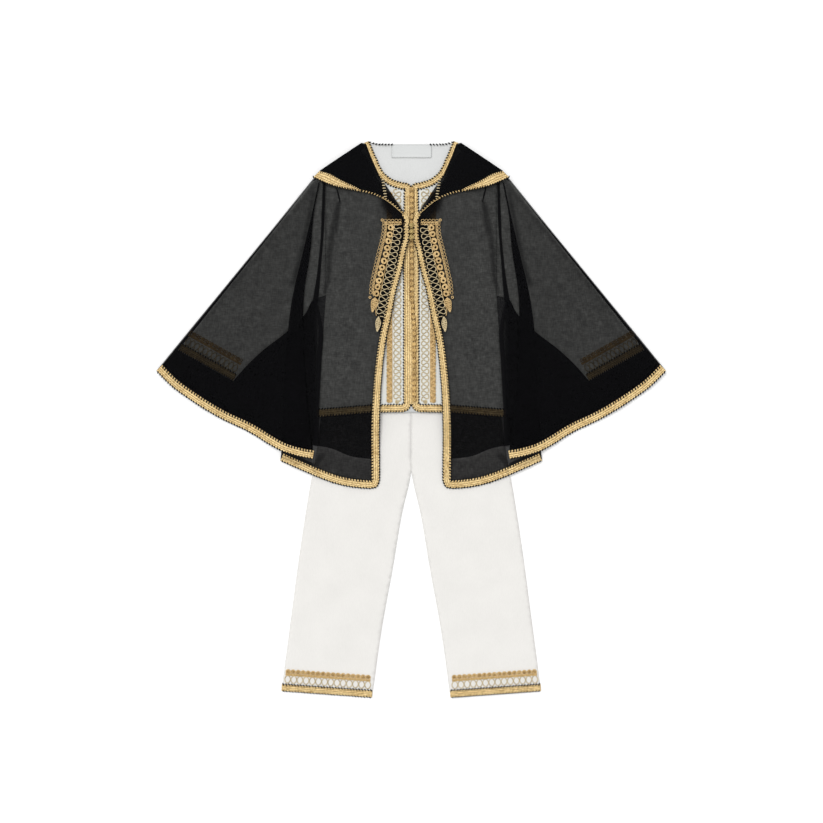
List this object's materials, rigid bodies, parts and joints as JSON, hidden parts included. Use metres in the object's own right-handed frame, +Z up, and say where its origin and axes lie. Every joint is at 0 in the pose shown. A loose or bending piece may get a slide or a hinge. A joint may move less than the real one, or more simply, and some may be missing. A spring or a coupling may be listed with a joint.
{
  "type": "jabador suit laid flat",
  "caption": "Child's jabador laid flat: white front-opening tunic and trousers under a sheer black hooded cape, edged with gold braid.",
  "frame": {"origin": "middle of the laid-out suit, on the table that it lies on", "axes": "+X to the right as seen from above, +Y from the hems up to the neck, +Z up from the table"},
  "size_m": [0.714, 0.78, 0.0195],
  "materials": {
    "trouser_cloth": "matt off-white cotton",
    "tunic_cloth": "matt white cotton",
    "voile": "sheer black voile, one layer lets about a quarter of the light through",
    "hood_cloth": "matt black, lined",
    "gold_braid": "woven gold braid, soft sheen",
    "gold_cord": "twisted pale gold cord",
    "gold_knot": "worked gold thread knots",
    "label": "blank white satin"
  },
  "bodies": {
    "root": {"trouser_back_left": "trouser_cloth", "trouser_back_right": "trouser_cloth", "trouser_front_left": "trouser_cloth", "trouser_front_right": "trouser_cloth", "waistband": "trouser_cloth", "tunic_back": "tunic_cloth", "tunic_front_left": "tunic_cloth", "tunic_front_right": "tunic_cloth", "sleeve_left": "tunic_cloth", "sleeve_right": "tunic_cloth", "cape_back_left": "voile", "cape_back_right": "voile", "cape_front_left": "voile", "cape_front_right": "voile", "hood_left": "hood_cloth", "hood_right": "hood_cloth", "hem_braid_left": "gold_braid", "hem_braid_right": "gold_braid", "tunic_braid_left": "gold_braid", "tunic_braid_right": "gold_braid", "cuff_braid_left": "gold_braid", "cuff_braid_right": "gold_braid", "cape_braid_left": "gold_braid", "cape_braid_right": "gold_braid", "wing_braid_left": "gold_braid", "wing_braid_right": "gold_braid", "hood_braid_left": "gold_braid", "hood_braid_right": "gold_braid", "hem_loops_left": "gold_cord", "hem_loops_right": "gold_cord", "hem_band_left": "gold_cord", "hem_band_right": "gold_cord", "tunic_band_left": "gold_cord", "tunic_band_right": "gold_cord", "tunic_cord_left": "gold_cord", "tunic_cord_right": "gold_cord", "cuff_band_left": "gold_cord", "cuff_band_right": "gold_cord", "chest_panel_left": "gold_cord", "chest_panel_right": "gold_cord", "chest_cord_left": "gold_cord", "chest_cord_right": "gold_cord", "tunic_knots": "gold_knot", "cape_knot_1": "gold_knot", "cape_knot_2": "gold_knot", "cape_knot_3": "gold_knot", "neck_label": "label"}
  },
  "joints": []
}
